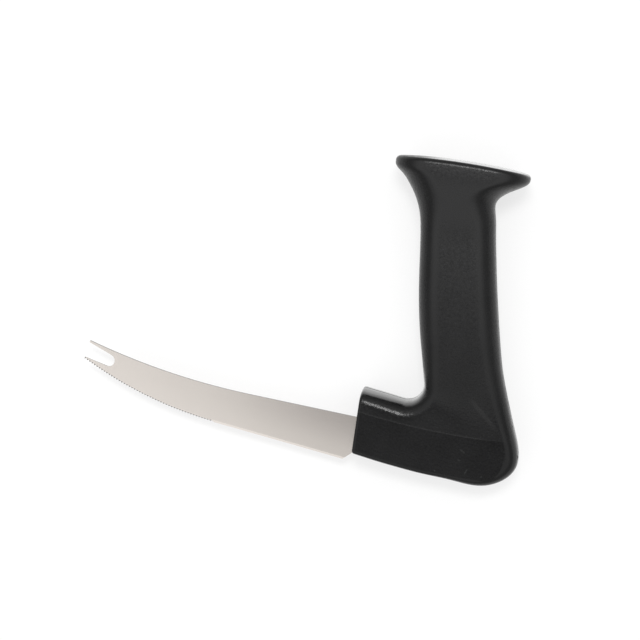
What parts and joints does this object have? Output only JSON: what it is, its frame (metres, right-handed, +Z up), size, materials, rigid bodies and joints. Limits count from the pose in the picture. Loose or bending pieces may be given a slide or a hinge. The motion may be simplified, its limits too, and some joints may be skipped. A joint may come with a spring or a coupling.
{
  "type": "vegetable knife",
  "caption": "Vegetable knife with an upright black plastic grip at a right angle to a thin, upswept steel blade that is finely toothed and ends in a fork.",
  "frame": {"origin": "under the middle of the knife's bounding box, on the table that it lies on; the knife lies on its side, on one base panel and the edge of the flange, blade clear of the table", "axes": "+X from the forked tip towards the heel of the handle, along the tang; +Y from the base towards the flange at the top of the grip; +Z up from the table"},
  "size_m": [0.2208, 0.1552, 0.0372],
  "materials": {
    "blade_steel": "fine satin",
    "black_plastic": "fine spark-eroded grain"
  },
  "bodies": {
    "root": {"blade": "blade_steel", "handle": "black_plastic"}
  },
  "joints": []
}
